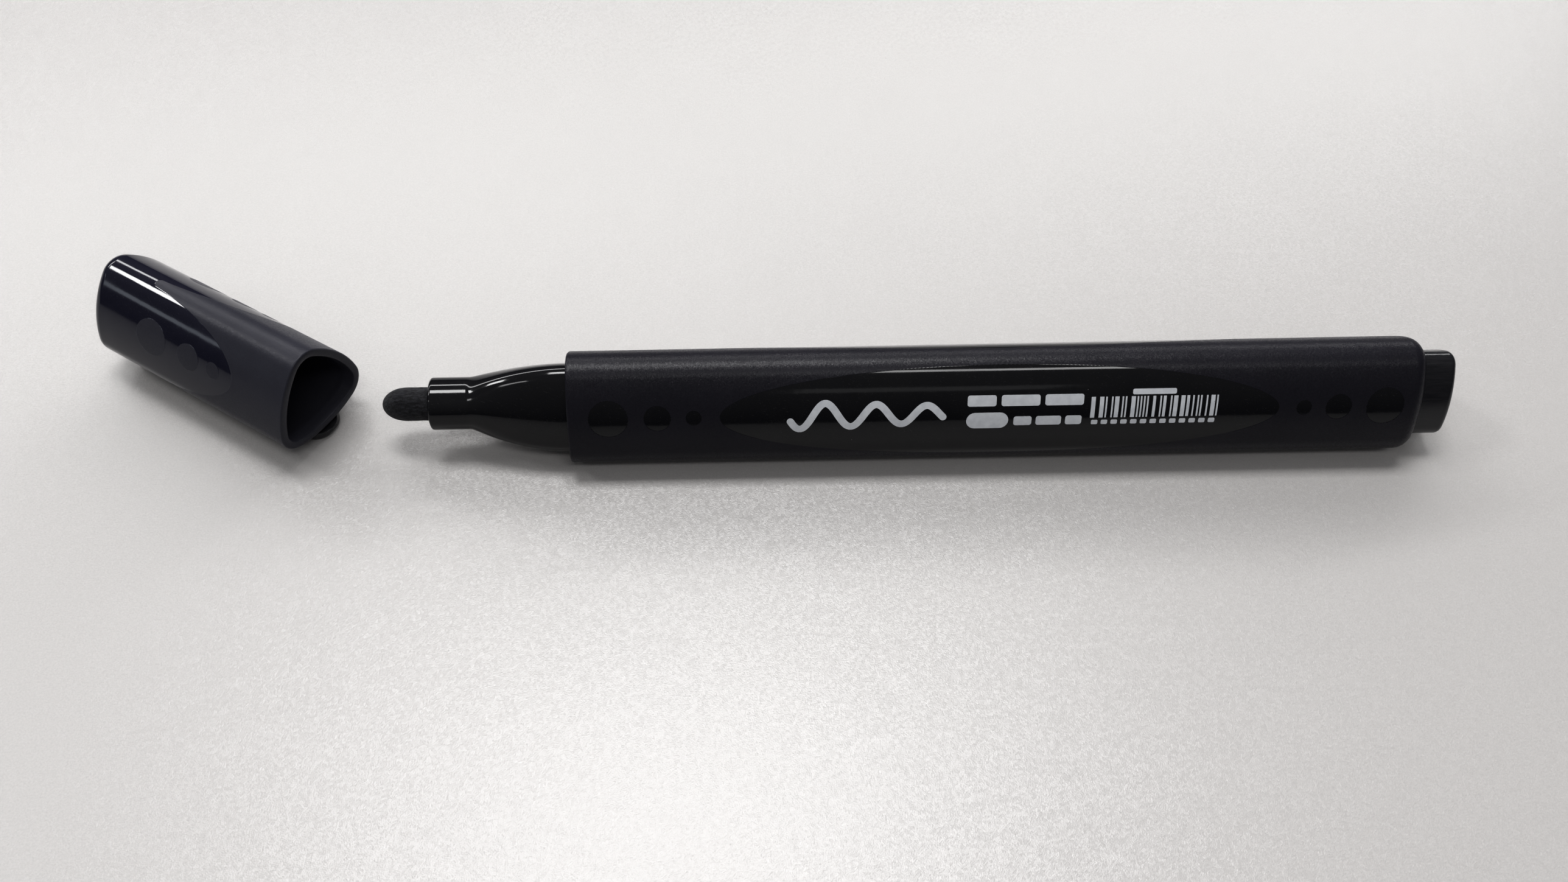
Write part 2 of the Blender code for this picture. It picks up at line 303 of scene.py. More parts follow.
class Shape:
    """A mesh in the making, in millimetres. Each face has a material slot and a skin flag."""

    def __init__(self, name):
        self.name = name
        self.mesh = bmesh.new()
        self.smooth_skin = self.mesh.faces.layers.int.new("smooth_skin")

    def face(self, verts, slot=0, skin=0):
        if len(set(verts)) < 3:
            return
        made = self.mesh.faces.new(verts)
        made.material_index = slot
        made.smooth = True
        made[self.smooth_skin] = skin

    def verts(self, points):
        return [self.mesh.verts.new(p) for p in points]

    def loft(self, rings, slot=0, start=False, end=False, loop=False):
        loops = [self.verts(points) for points in rings]
        pairs = list(zip(loops, loops[1:])) + ([(loops[-1], loops[0])] if loop else [])
        for first, second in pairs:
            for i in range(len(first)):
                j = (i + 1) % len(first)
                self.face((first[i], first[j], second[j], second[i]), slot)
        if start:
            self.face(loops[0], slot)
        if end:
            self.face(loops[-1], slot)

    def object(self, matrix, materials, sharp=35, weld=0.001, analytic=False):
        """The finished object, placed by its frame's matrix."""
        bmesh.ops.remove_doubles(self.mesh, verts=self.mesh.verts, dist=weld)
        bmesh.ops.recalc_face_normals(self.mesh, faces=self.mesh.faces)
        if self.mesh.calc_volume(signed=True) < 0:
            bmesh.ops.reverse_faces(self.mesh, faces=self.mesh.faces)
        mesh = bpy.data.meshes.new(self.name)
        self.mesh.to_mesh(mesh)
        self.mesh.free()
        mesh.set_sharp_from_angle(angle=math.radians(sharp))
        if analytic:
            exact_normals(mesh)
        mesh.transform(Matrix.Scale(MM, 4))
        for material in materials:
            mesh.materials.append(material)
        made = bpy.data.objects.new(self.name, mesh)
        made.matrix_world = matrix
        bpy.context.scene.collection.objects.link(made)
        return made


def exact_normals(mesh):
    """Shading normals on the skin from the outline itself, so that reflections run true."""
    skin = mesh.attributes["smooth_skin"].data
    normals = [Vector(corner.vector) for corner in mesh.corner_normals]
    for polygon in mesh.polygons:
        if skin[polygon.index].value:
            for corner in polygon.loop_indices:
                point = mesh.vertices[mesh.loops[corner].vertex_index].co
                normals[corner] = outline_normal(point)
    mesh.normals_split_custom_set(normals)


def ellipse(centre, half_length, half_width, steps):
    angles = [math.tau * step / steps for step in range(steps)]
    return [
        Vector((centre + half_length * math.cos(a), half_width * math.sin(a))) for a in angles
    ]


def double_edge(centre, half_length, half_width, steps):
    """The two closed curves that a recess's sloping edge runs between."""
    return [
        (ellipse(centre, half_length + grow, half_width + grow, steps), True)
        for grow in (RECESS_EDGE, -RECESS_EDGE)
    ]


def within(x, arc, centre, half_length, half_width):
    """Whether a place is inside an ellipse, or on it."""
    return ((x - centre) / half_length) ** 2 + (arc / half_width) ** 2 <= 1.00001


def unrolled_patch(x_start, x_end, nominal, curves):
    """Points and triangles that fill one side's unrolled skin, with the curves as edges."""
    half = half_arc(nominal)
    points, edges = [], []
    for curve, closed in curves:
        first, count = len(points), len(curve)
        points += curve
        links = count if closed else count - 1
        edges += [(first + i, first + (i + 1) % count) for i in range(links)]
    near = KDTree(max(len(points), 1))
    for index, point in enumerate(points):
        near.insert((point.x, point.y, 0), index)
    near.balance()
    rows = round((x_end - x_start) / CELL)
    for row in range(rows + 1):
        x = x_start + (x_end - x_start) * row / rows
        for column in range(COLUMNS + 1):
            arc = half * (2 * column / COLUMNS - 1)
            on_border = row in (0, rows) or column in (0, COLUMNS)
            room = near.find((x, arc, 0))[2] if points else 1.0
            if room is None or room > (0.02 if on_border else 0.4 * CELL):
                points.append(Vector((x, arc)))
    made, _, faces, *_ = delaunay_2d_cdt(points, edges, [], 0, 1e-6)
    return made, faces


def skin(shape, x_start, x_end, nominal, apothem_at, curves, polished):
    """The outer skin on all three sides: matte in slot 0, and polished and sunk in slot 1."""
    points, faces = unrolled_patch(x_start, x_end, nominal, curves)
    sunk = [polished(p.x, p.y, -RECESS_EDGE) for p in points]
    leans = [lean_of(p.y, nominal) for p in points]
    for face in range(FACES):
        verts = shape.verts(
            on_outline(p.x, apothem_at(p.x) - (RECESS if low else 0), lean, face)
            for p, low, lean in zip(points, sunk, leans)
        )
        for corners in faces:
            middle = sum((points[i] for i in corners), Vector((0, 0))) / len(corners)
            inside = polished(middle.x, middle.y, 0)
            level = len({sunk[i] for i in corners}) == 1
            shape.face([verts[i] for i in corners], 1 if inside else 0, 1 if level else 0)


def barrel_apothem(x):
    return BARREL_MIDDLE + (BARREL_REAR - BARREL_FRONT) * x / BARREL_LENGTH


def cap_apothem(x):
    return CAP_MOUTH + (CAP_MOUTH - CAP_END) * x / CAP_LENGTH


def barrel_polished(x, arc, grow):
    """Whether a place on a side of the barrel is polished, with its shapes grown by that much."""
    if within(x, arc, PANEL_SHIFT, PANEL_HALF_LENGTH + grow, PANEL_HALF_WIDTH + grow):
        return True
    return any(
        within(x, arc, PANEL_SHIFT + side * place, radius + grow, radius + grow)
        for place, radius in zip(DOT_PLACES, DOT_RADII)
        for side in (-1, 1)
    )


def make_barrel(matrix, materials):
    shape = Shape("barrel_skin")
    nominal = BARREL_MIDDLE
    curves = double_edge(PANEL_SHIFT, PANEL_HALF_LENGTH, PANEL_HALF_WIDTH, 420)
    for place, radius in zip(DOT_PLACES, DOT_RADII):
        for side in (-1, 1):
            curves += double_edge(PANEL_SHIFT + side * place, radius, radius, 56)
    skin_start, skin_end = FRONT + FRONT_ROUND, REAR - REAR_ROUND
    skin(shape, skin_start, skin_end, nominal, barrel_apothem, curves, barrel_polished)
    front_rings = []
    for along, inwards in quarter_round(4):
        x = FRONT + FRONT_ROUND * (1 - along)
        front_rings.append(ring(x, barrel_apothem(x) - FRONT_ROUND * inwards, nominal))
    bore_front = [
        ring(FRONT, BARREL_BORE + BORE_EDGE, nominal),
        ring(FRONT + BORE_EDGE, BARREL_BORE, nominal),
    ]
    rear_rings = []
    for along, inwards in quarter_round(10):
        x = REAR - REAR_ROUND * (1 - along)
        rear_rings.append(ring(x, barrel_apothem(x) - REAR_ROUND * inwards, nominal))
    bore_rear = [
        ring(REAR - BORE_EDGE, BARREL_BORE, nominal),
        ring(REAR, BARREL_BORE + BORE_EDGE, nominal),
    ]
    shape.loft(front_rings + bore_front + bore_rear + rear_rings[::-1])
    return shape.object(matrix, materials, analytic=True)


def flare_share(x_from_nozzle):
    """How far the flare has grown from the nozzle's circle to the spigot's triangle."""
    blunt = 0.035
    run = min(x_from_nozzle / FLARE_LENGTH, 1)
    eased = (math.hypot(run, blunt) - blunt) / (math.hypot(1, blunt) - blunt)
    return 1 - (1 - eased) ** 2


def make_front_section(matrix, materials):
    shape = Shape("front_section_skin")
    nominal = SPIGOT
    guide = ring(0, SPIGOT, nominal)
    nozzle = FRONT - FLARE_LENGTH
    face = nozzle - NOZZLE_LENGTH
    spigot_end = FRONT + SPIGOT_DEPTH
    inside = SPIGOT - FRONT_WALL
    rings = [ring(spigot_end, inside, nominal), ring(spigot_end, SPIGOT, nominal)]
    steps = 64
    for step in range(steps + 1):
        x_from_nozzle = FLARE_LENGTH * (1 - step / steps)
        x = nozzle + x_from_nozzle
        share = flare_share(x_from_nozzle)
        round_ring = circle_like(guide, x, NOZZLE_RADIUS)
        rings.append([a.lerp(b, share) for a, b in zip(round_ring, ring(x, SPIGOT, nominal))])
    for x in (nozzle - EDGE_RING, nozzle - 3 * EDGE_RING, face + NOZZLE_ROUND + EDGE_RING):
        rings.append(circle_like(guide, x, NOZZLE_RADIUS))
    for along, inwards in quarter_round(5):
        x = face + NOZZLE_ROUND * (1 - along)
        rings.append(circle_like(guide, x, NOZZLE_RADIUS - NOZZLE_ROUND * inwards))
    bore = NIB_RADIUS + NIB_GAP
    rings.append(vented(circle_like(guide, face, bore + NIB_BORE_EDGE)))
    rings.append(vented(circle_like(guide, face + NIB_BORE_EDGE, bore)))
    rings.append(vented(circle_like(guide, face + NIB_BORE_LENGTH, bore)))
    rings.append(ring(FRONT - FLARE_LENGTH / 3, inside, nominal))
    shape.loft(rings, loop=True)
    return shape.object(matrix, materials)


def vented(points):
    """The nib's bore with a narrow air groove at each of VENTS places round it."""
    spacing = len(points) // VENTS
    grooved = []
    for index, p in enumerate(points):
        radius = math.hypot(p.y, p.z)
        grow = 1 + VENT_DEPTH / radius if index % spacing in (0, 1) else 1.0
        grooved.append(Vector((p.x, p.y * grow, p.z * grow)))
    return grooved


def nib_radius(x_from_tip):
    """The bullet's radius: an elliptical dome, then straight."""
    run = min(x_from_tip / NIB_DOME, 1)
    return NIB_RADIUS * math.sqrt(max(0.0, 1 - (1 - run) ** 2))


def make_nib(matrix, materials):
    """Felt rod: its surface is ridged along the fibres and a little uneven at the tip."""
    shape = Shape("nib_felt_body")
    around, end = 120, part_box("nib")[1].x / MM
    places = [0.004, 0.03, 0.08]
    places += [0.15 + 0.09 * step for step in range(80)]
    places += [8.0, 14.0, end - TIP - 1.0]
    rings = []
    for place in places:
        base = nib_radius(place)
        points = []
        for step in range(around):
            angle = math.tau * step / around
            cos, sin = math.cos(angle), math.sin(angle)
            seed = Vector((place * 0.55, cos * 7.5, sin * 7.5))
            ridge = noise.noise(seed) * FELT_RIDGE + noise.noise(seed * 2.7) * FELT_FINE_RIDGE
            pit = noise.noise(Vector((place, cos * 2, sin * 2)) * 1.4) * FELT_PIT
            share = min(1, base / NIB_RADIUS + 0.2) * 0.5
            radius = base * (1 + (ridge + pit - FELT_SHRINK) * share)
            points.append(Vector((TIP + place, radius * cos, radius * sin)))
        rings.append(points)
    rings.append([Vector((end, 0.8 * p.y, 0.8 * p.z)) for p in rings[-1]])
    shape.loft(rings, start=True, end=True)
    return shape.object(matrix, materials, sharp=60)


def make_fibres(matrix, materials):
    """Loose felt fibres that stand off the nib: thin, bent and pointed."""
    shape = Shape("nib_loose_fibres")
    draw = random.Random(5)
    for _ in range(LOOSE_FIBRES):
        place = draw.uniform(*LOOSE_ZONE)
        angle = draw.uniform(0, math.tau)
        out = Vector((0, math.cos(angle), math.sin(angle)))
        side = Vector((0, -math.sin(angle), math.cos(angle)))
        start = Vector((TIP + place, 0, 0)) + out * (nib_radius(place) * 0.99)
        heading = Vector((draw.uniform(-1, 1), 0, 0))
        heading += side * draw.uniform(-0.5, 0.5) + out * 0.16
        heading.normalize()
        length = draw.uniform(*LOOSE_LENGTHS)
        thick = draw.uniform(*LOOSE_RADII)
        rings = []
        for step in range(4):
            run = step / 3
            centre = start + heading * (length * run) + out * (0.05 * math.sin(run * math.pi))
            width = thick * (1.05 - run)
            corners = (out * width, side * width, out * width * -0.6)
            rings.append([centre + corner for corner in corners])
        shape.loft(rings, start=True, end=True)
    return shape.object(matrix, materials, weld=0.00001)


def make_rear_plug(matrix, materials):
    shape = Shape("rear_plug_skin")
    inner_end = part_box("rear_plug")[0].x / MM
    rings = [
        ring(PLUG_END - PLUG_WALL, PLUG - PLUG_WALL, PLUG),
        ring(inner_end, PLUG - PLUG_WALL, PLUG),
        ring(inner_end, PLUG, PLUG),
    ]
    for along, inwards in quarter_round(8):
        x = PLUG_END - PLUG_ROUND * (1 - along)
        rings.append(ring(x, PLUG - PLUG_ROUND * inwards, PLUG))
    guide = rings[-1]
    for rise, radius in PLUG_MARK:
        rings.append(circle_like(guide, PLUG_END + rise, radius))
    shape.loft(rings, start=True, end=True)
    return shape.object(matrix, materials)


def cap_half_width(x, grow):
    """Half-width of the cap's polished panel at x, between its tip and the matte tongues."""
    run = (x - CAP_PANEL_CENTRE) / (CAP_PANEL_LENGTH + grow)
    return (CAP_PANEL_HALF_WIDTH + grow) * math.sqrt(max(0.0, 1 - run**2))


def cap_panel_edge(nominal, grow):
    """From corner to corner: a tongue's round end, the panel's tip, and the next tongue's end."""
    half = half_arc(nominal)
    radius = half - cap_half_width(CAP_TONGUE, grow)
    upper = []
    for step in range(9):
        angle = math.pi / 2 * step / 8
        upper.append((CAP_TONGUE - radius * math.cos(angle), half - radius * math.sin(angle)))
    start = math.acos((CAP_TONGUE - CAP_PANEL_CENTRE) / (CAP_PANEL_LENGTH + grow))
    steps = 90
    for step in range(1, steps + 1):
        angle = start * (1 - step / steps)
        x = CAP_PANEL_CENTRE + (CAP_PANEL_LENGTH + grow) * math.cos(angle)
        upper.append((x, (CAP_PANEL_HALF_WIDTH + grow) * math.sin(angle)))
    lower = [(x, -arc) for x, arc in reversed(upper[:-1])]
    return [Vector(p) for p in upper + lower]


def cap_polished(x, arc, grow):
    """Whether a place on a side of the cap is polished, with its shapes grown by that much."""
    half = half_arc((CAP_MOUTH + CAP_END) / 2)
    for place, radius in zip(CAP_DOT_PLACES, CAP_DOT_RADII):
        if ((x - place) ** 2 + arc**2) < (radius - grow - 0.0001) ** 2:
            return False
    if x > CAP_TONGUE:
        return x < CAP_PANEL_CENTRE + CAP_PANEL_LENGTH + grow and (
            abs(arc) <= cap_half_width(x, grow) + 0.0002
        )
    radius = half - cap_half_width(CAP_TONGUE, grow)
    return math.hypot(x - CAP_TONGUE, half - abs(arc)) >= radius - 0.0002


def make_cap(matrix, materials):
    shape = Shape("cap_skin")
    nominal = (CAP_MOUTH + CAP_END) / 2
    curves = [(cap_panel_edge(nominal, grow), False) for grow in (RECESS_EDGE, -RECESS_EDGE)]
    for place, radius in zip(CAP_DOT_PLACES, CAP_DOT_RADII):
        curves += double_edge(place, radius, radius, 60)
    skin_start, skin_end = -CAP_LENGTH + CAP_END_ROUND, -CAP_MOUTH_ROUND
    skin(shape, skin_start, skin_end, nominal, cap_apothem, curves, cap_polished)
    closed = []
    for along, inwards in quarter_round(7):
        x = -CAP_LENGTH + CAP_END_ROUND * (1 - along)
        inset = CAP_END_ROUND * inwards + RECESS
        closed.append(ring(x, cap_apothem(x) - inset, nominal))
    shape.loft(closed, slot=1, end=True)
    mouth = []
    for along, inwards in quarter_round(5):
        x = -CAP_MOUTH_ROUND * (1 - along)
        mouth.append(ring(x, cap_apothem(x) - CAP_MOUTH_ROUND * inwards, nominal))
    for x, rise in CAP_MOUTH_INSIDE:
        mouth.append(ring(x, CAP_MOUTH - CAP_WALL - rise, nominal))
    floor = -CAP_LENGTH + CAP_END_WALL
    mouth.append(ring(floor, cap_apothem(floor) - CAP_WALL, nominal))
    shape.loft(mouth, end=True)
    return shape.object(matrix, materials, analytic=True)


def clip_ring(x, half_width, top, bottom, dome=CLIP_DOME):
    """Across the clip: flat inside, domed outside, with round edges."""
    points = []
    for step in range(25):
        share = 2 * step / 24 - 1
        y = half_width * math.sin(share * math.pi / 2)
        rise = dome * (y / max(half_width, 0.001)) ** 2
        edge = CLIP_OUTER_EDGE * max(0.0, (abs(share) - 0.72) / 0.28) ** 2
        points.append(Vector((x, y, min(bottom + rise + edge, top))))
    for step in range(1, 12):
        share = 1 - 2 * step / 12
        edge = CLIP_INNER_EDGE * max(0.0, (abs(share) - 0.8) / 0.2)
        y = half_width * share * CLIP_INNER_WIDTH
        points.append(Vector((x, y, max(top - edge, points[12].z))))
    return points


def make_clip(matrix, materials):
    shape = Shape("clip_tongue")
    bottom, top = -CLIP_PROUD, -CLIP_PROUD + CLIP_THICKNESS
    length, half_width, root = CLIP_TIP - CLIP_ROOT, CLIP_WIDTH / 2, -CLIP_ROOT_GAP
    rings = []
    for run in (0, 0.1, 0.3, 0.6, 1.0):
        rise = CLIP_HEEL_RISE * (1 - run) ** 2
        width = half_width - CLIP_HEEL_INSET * (1 - run) ** 2
        rings.append(clip_ring(run * CLIP_HEEL, width, root, bottom + rise))
    step_up = ((2.9, root), (3.2, root - 0.05), (3.45, top + 0.16), (3.7, top + 0.03))
    for x, inside in (*step_up, (CLIP_TONGUE_START, top)):
        rings.append(clip_ring(x, half_width, inside, bottom))
    straight = length - half_width
    for step in range(1, 21):
        x = CLIP_TONGUE_START + (straight - CLIP_TONGUE_START) * step / 20
        rings.append(clip_ring(x, half_width, top, bottom))
    for step in range(1, 25):
        angle = math.pi / 2 * step / 24.4
        x = straight + half_width * math.sin(angle)
        rise = CLIP_TIP_RISE * (1 - math.cos(angle)) ** 1.5
        width, dome = half_width * math.cos(angle), CLIP_DOME * math.cos(angle)
        rings.append(clip_ring(x, width, top, bottom + rise, dome))
    shape.loft(rings, start=True, end=True)
    return shape.object(matrix, materials, sharp=50)


def on_panel(x, arc, height, face):
    """A point over a side's polished panel, that high above it."""
    apothem = barrel_apothem(x) - RECESS
    lean = lean_of(arc, BARREL_MIDDLE)
    return on_outline(x, apothem, lean, face) + height * outline_normal(
        on_outline(0, BARREL_MIDDLE, lean, face)
    )


def refined(outline, spacing):
    """The same closed line with extra points on its long edges, so that it can bend."""
    points = []
    for here, there in zip(outline, outline[1:] + outline[:1]):
        parts = max(1, round((there - here).length / spacing))
        points += [here.lerp(there, part / parts) for part in range(parts)]
    return points


def plate(shape, outline):
    """One printed patch: a thin closed plate that follows the panel."""
    spacing = PRINT_SPACING
    outline = refined(outline, spacing)
    count = len(outline)
    points = list(outline)
    low = Vector((min(p.x for p in outline), min(p.y for p in outline)))
    high = Vector((max(p.x for p in outline), max(p.y for p in outline)))
    columns, rows = int((high.x - low.x) / spacing), int((high.y - low.y) / spacing)
    for column in range(1, columns):
        for row in range(1, rows + 1):
            point = Vector((low.x + column * spacing, low.y + row * spacing))
            if min((point - p).length for p in outline) > spacing * 0.4:
                points.append(point)
    edges = [(i, (i + 1) % count) for i in range(count)]
    made, _, faces, *_ = delaunay_2d_cdt(points, edges, [list(range(count))], 1, 1e-6)
    top = shape.verts(on_panel(p.x, p.y, PRINT_HEIGHT, PRINT_FACE) for p in made)
    under = shape.verts(on_panel(p.x, p.y, -PRINT_HEIGHT, PRINT_FACE) for p in made)
    for corners in faces:
        shape.face([top[i] for i in corners])
        shape.face([under[i] for i in reversed(corners)])
    for i in range(count):
        j = (i + 1) % count
        shape.face((top[i], top[j], under[j], under[i]))


def rounded_bar(x_start, x_end, arc_start, arc_end, radius):
    """Corner arcs and straight sides of a bar on the panel, as points along its edge."""
    radius = min(radius, (x_end - x_start) / 2, (arc_end - arc_start) / 2)
    corners = (
        (x_end - radius, arc_end - radius, 0),
        (x_start + radius, arc_end - radius, 1),
        (x_start + radius, arc_start + radius, 2),
        (x_end - radius, arc_start + radius, 3),
    )
    points = []
    for x, arc, quarter in corners:
        for step in range(6):
            angle = math.pi / 2 * (quarter + step / 5)
            points.append(Vector((x + radius * math.cos(angle), arc + radius * math.sin(angle))))
    kept = []
    for point in points:
        if not kept or (point - kept[-1]).length > 1e-4:
            kept.append(point)
    if (kept[0] - kept[-1]).length < 1e-4:
        kept.pop()
    return kept


def stroke(centre_line, width):
    """The outline of a drawn line with round ends."""
    left, right = [], []
    for index, point in enumerate(centre_line):
        before = centre_line[max(index - 1, 0)]
        after = centre_line[min(index + 1, len(centre_line) - 1)]
        along = (after - before).normalized()
        side = Vector((-along.y, along.x)) * width / 2
        left.append(point + side)
        right.append(point - side)
    ends = []
    for point, inner in ((centre_line[-1], centre_line[-2]), (centre_line[0], centre_line[1])):
        along = (point - inner).normalized()
        start = math.atan2(along.y, along.x) + math.pi / 2
        angles = [start - math.pi * step / 8 for step in range(1, 8)]
        ends.append([point + Vector((math.cos(a), math.sin(a))) * width / 2 for a in angles])
    return left + ends[0] + right[::-1] + ends[1]


def make_print(matrix, materials):
    """Generic light print on the panel that faces up front: a wave, bars and a band of stripes."""
    shape = Shape("panel_print")
    draw = random.Random(11)
    wave = []
    for step in range(WAVE_STEPS + 1):
        run = step / WAVE_STEPS
        swing = math.sin(run * math.tau * WAVE_CYCLES + WAVE_PHASE)
        arc = WAVE_HEIGHT * swing * (1 - WAVE_FADE * run)
        wave.append(Vector((WAVE_START + WAVE_LENGTH * run, arc)))
    plate(shape, stroke(wave, WAVE_STROKE))
    for start, end in LOWER_BARS:
        plate(shape, rounded_bar(start, end, *LOWER_ROW, BAR_ROUND))
    plate(shape, rounded_bar(*PILL, PILL_ROUND))
    for start, end in UPPER_BARS:
        plate(shape, rounded_bar(start, end, *UPPER_ROW, BAR_ROUND))
    plate(shape, rounded_bar(*CAPTION, CAPTION_ROUND))
    x, end = STRIPES
    while x < end:
        width = draw.choice(STRIPE_WIDTHS)
        plate(shape, rounded_bar(x, x + width, *STRIPE_ROW, STRIPE_ROUND))
        x += width + draw.choice(STRIPE_WIDTHS)
    x, end = TABS
    while x < end:
        plate(shape, rounded_bar(x, x + TAB_LENGTH, *TAB_ROW, TAB_ROUND))
        x += TAB_PITCH
    return shape.object(matrix, materials, weld=0.00001, sharp=40)


class Finish:
    """A Principled material whose nodes are added by short calls. Lengths in its space are mm."""

    def __init__(self, name, **constants):
        self.material = bpy.data.materials.new(name)
        self.material.use_nodes = True
        self.tree = self.material.node_tree
        self.shader = self.tree.nodes["Principled BSDF"]
        for socket, value in constants.items():
            self.shader.inputs[socket.replace("_", " ")].default_value = value
        place = self.tree.nodes.new("ShaderNodeTexCoord").outputs["Object"]
        self.space = self.vector("SCALE", place, scale=1 / MM)

    def put(self, socket, value):
        if hasattr(value, "is_linked"):
            self.tree.links.new(value, socket)
        else:
            socket.default_value = value

    def vector(self, operation, first, second=None, scale=None):
        node = self.tree.nodes.new("ShaderNodeVectorMath")
        node.operation = operation
        self.put(node.inputs[0], first)
        if second is not None:
            self.put(node.inputs[1], second)
        if scale is not None:
            self.put(node.inputs["Scale"], scale)
        return node.outputs["Vector"]

    def stretched(self, along, across):
        return self.vector("MULTIPLY", self.space, (along, across, across))

    def noise(self, scale, detail=2.0, roughness=0.55, space=None, distortion=0.0):
        node = self.tree.nodes.new("ShaderNodeTexNoise")
        self.put(node.inputs["Vector"], space or self.space)
        node.inputs["Scale"].default_value = scale
        node.inputs["Detail"].default_value = detail
        node.inputs["Roughness"].default_value = roughness
        node.inputs["Distortion"].default_value = distortion
        return node.outputs["Fac"]

    def cells(self, scale):
        """(distance from the cell's middle, a random colour of the cell)"""
        node = self.tree.nodes.new("ShaderNodeTexVoronoi")
        self.put(node.inputs["Vector"], self.space)
        node.inputs["Scale"].default_value = scale
        return node.outputs["Distance"], node.outputs["Color"]

    def math(self, operation, first, second=0.0, third=0.0):
        node = self.tree.nodes.new("ShaderNodeMath")
        node.operation = operation
        for socket, value in zip(node.inputs, (first, second, third)):
            self.put(socket, value)
        return node.outputs["Value"]

    def times(self, first, second):
        return self.math("MULTIPLY", first, second)

    def ramp(self, value, start, end, low=0.0, high=1.0):
        node = self.tree.nodes.new("ShaderNodeMapRange")
        node.clamp = True
        for socket, given in zip(node.inputs, (value, start, end, low, high)):
            self.put(socket, given)
        return node.outputs["Result"]

    def mix(self, share, first, second):
        node = self.tree.nodes.new("ShaderNodeMix")
        node.data_type = "RGBA"
        self.put(node.inputs["Factor"], share)
        for socket, value in zip(node.inputs[6:8], (first, second)):
            self.put(socket, value if hasattr(value, "is_linked") else (*value, 1.0))
        return node.outputs[2]

    def bump(self, height, distance, strength=1.0, under=None):
        """Relief of that many mm from nought to one."""
        node = self.tree.nodes.new("ShaderNodeBump")
        node.inputs["Strength"].default_value = strength
        node.inputs["Distance"].default_value = distance * MM
        self.put(node.inputs["Height"], height)
        if under is not None:
            self.put(node.inputs["Normal"], under)
        return node.outputs["Normal"]

    def facets(self, scale, share, under):
        """The normal under it, tilted a random way in each small cell."""
        _, colour = self.cells(scale)
        centred = self.vector("SUBTRACT", colour, (0.5, 0.5, 0.5))
        tilted = self.vector("ADD", under, self.vector("SCALE", centred, scale=share))
        return self.vector("NORMALIZE", tilted)

    def dust(self, scale, share, size):
        """Mask of small specks: one in a share of the cells, that size in mm."""
        distance, colour = self.cells(scale)
        split = self.tree.nodes.new("ShaderNodeSeparateColor")
        self.put(split.inputs[0], colour)
        chosen = self.math("LESS_THAN", split.outputs[0], share)
        near = self.ramp(distance, size * scale * 0.5, size * scale * 0.3)
        return self.times(chosen, near)

    def hairlines(self, turn, threshold):
        """Mask of fine scratches that run one way, turned from the x axis."""
        node = self.tree.nodes.new("ShaderNodeVectorRotate")
        node.rotation_type = "Z_AXIS"
        self.put(node.inputs["Vector"], self.space)
        node.inputs["Angle"].default_value = turn
        thin = self.vector("MULTIPLY", node.outputs["Vector"], (0.12, 7.0, 7.0))
        return self.ramp(self.noise(1.0, 1.0, 0.5, thin), threshold, threshold + 0.05)

    def set(self, socket, value):
        self.put(self.shader.inputs[socket], value)

    def colour(self, share, first, second):
        self.set("Base Color", self.mix(share, first, second))

    def done(self):
        return self.material


def spark_eroded(name, dark, light, tilt_share):
    """Black plastic from an eroded mould: tiny facets that glitter along a highlight."""
    finish = Finish(name, Specular_IOR_Level=0.24)
    grain = finish.noise(5.0, 2.0, 0.6)
    patch = finish.noise(0.11, 3.0, 0.6)
    dust = finish.dust(0.55, 0.14, 0.09)
    base = finish.mix(finish.ramp(patch, 0.35, 0.7), dark, light)
    finish.colour(finish.times(dust, 0.55), base, (0.16, 0.155, 0.15))
    finish.set("Roughness", finish.ramp(grain, 0.3, 0.7, 0.29, 0.44))
    finish.set("Normal", finish.facets(9.0, tilt_share, finish.bump(grain, 0.012, 0.8)))
    return finish.done()


def polished_black(name, dark, light, level):
    """Mirror-like black plastic with faint moulding waves, hairlines and specks of dust."""
    finish = Finish(name, Specular_IOR_Level=level)
    wave = finish.noise(0.35, 2.0, 0.5)
    peel = finish.noise(1.6, 1.0, 0.5)
    scratch = finish.math("MAXIMUM", finish.hairlines(0.5, 0.68), finish.hairlines(-0.9, 0.70))
    dust = finish.dust(0.6, 0.13, 0.10)
    mark = finish.math("MAXIMUM", finish.times(scratch, 0.05), dust)
    base = finish.mix(finish.ramp(wave, 0.3, 0.7), dark, light)
    finish.colour(finish.times(mark, 0.7), base, (0.25, 0.245, 0.24))
    smear = finish.ramp(finish.noise(0.18, 3.0, 0.6), 0.45, 0.75, 0.07, 0.12)
    finish.set("Roughness", finish.math("ADD", smear, finish.times(mark, 0.4)))
    under = finish.bump(wave, 0.012, 0.6)
    finish.set("Normal", finish.bump(peel, 0.0012, 0.6, under))
    return finish.done()


def satin_black(name, rough):
    """Plain moulded black plastic, between matte and polished, with fine drag lines along it."""
    finish = Finish(name, Specular_IOR_Level=0.5)
    drag = finish.noise(1.0, 2.0, 0.6, finish.stretched(0.5, 6.0))
    fine = finish.noise(9.0, 1.0, 0.5)
    dust = finish.dust(0.7, 0.12, 0.08)
    dark, light = (0.007, 0.007, 0.009), (0.012, 0.0115, 0.014)
    base = finish.mix(finish.ramp(drag, 0.35, 0.65), dark, light)
    finish.colour(finish.times(dust, 0.6), base, (0.2, 0.195, 0.19))
    finish.set("Roughness", finish.ramp(drag, 0.3, 0.7, rough - 0.05, rough + 0.07))
    finish.set("Normal", finish.bump(fine, 0.004, 0.5, finish.bump(drag, 0.003, 0.5)))
    return finish.done()


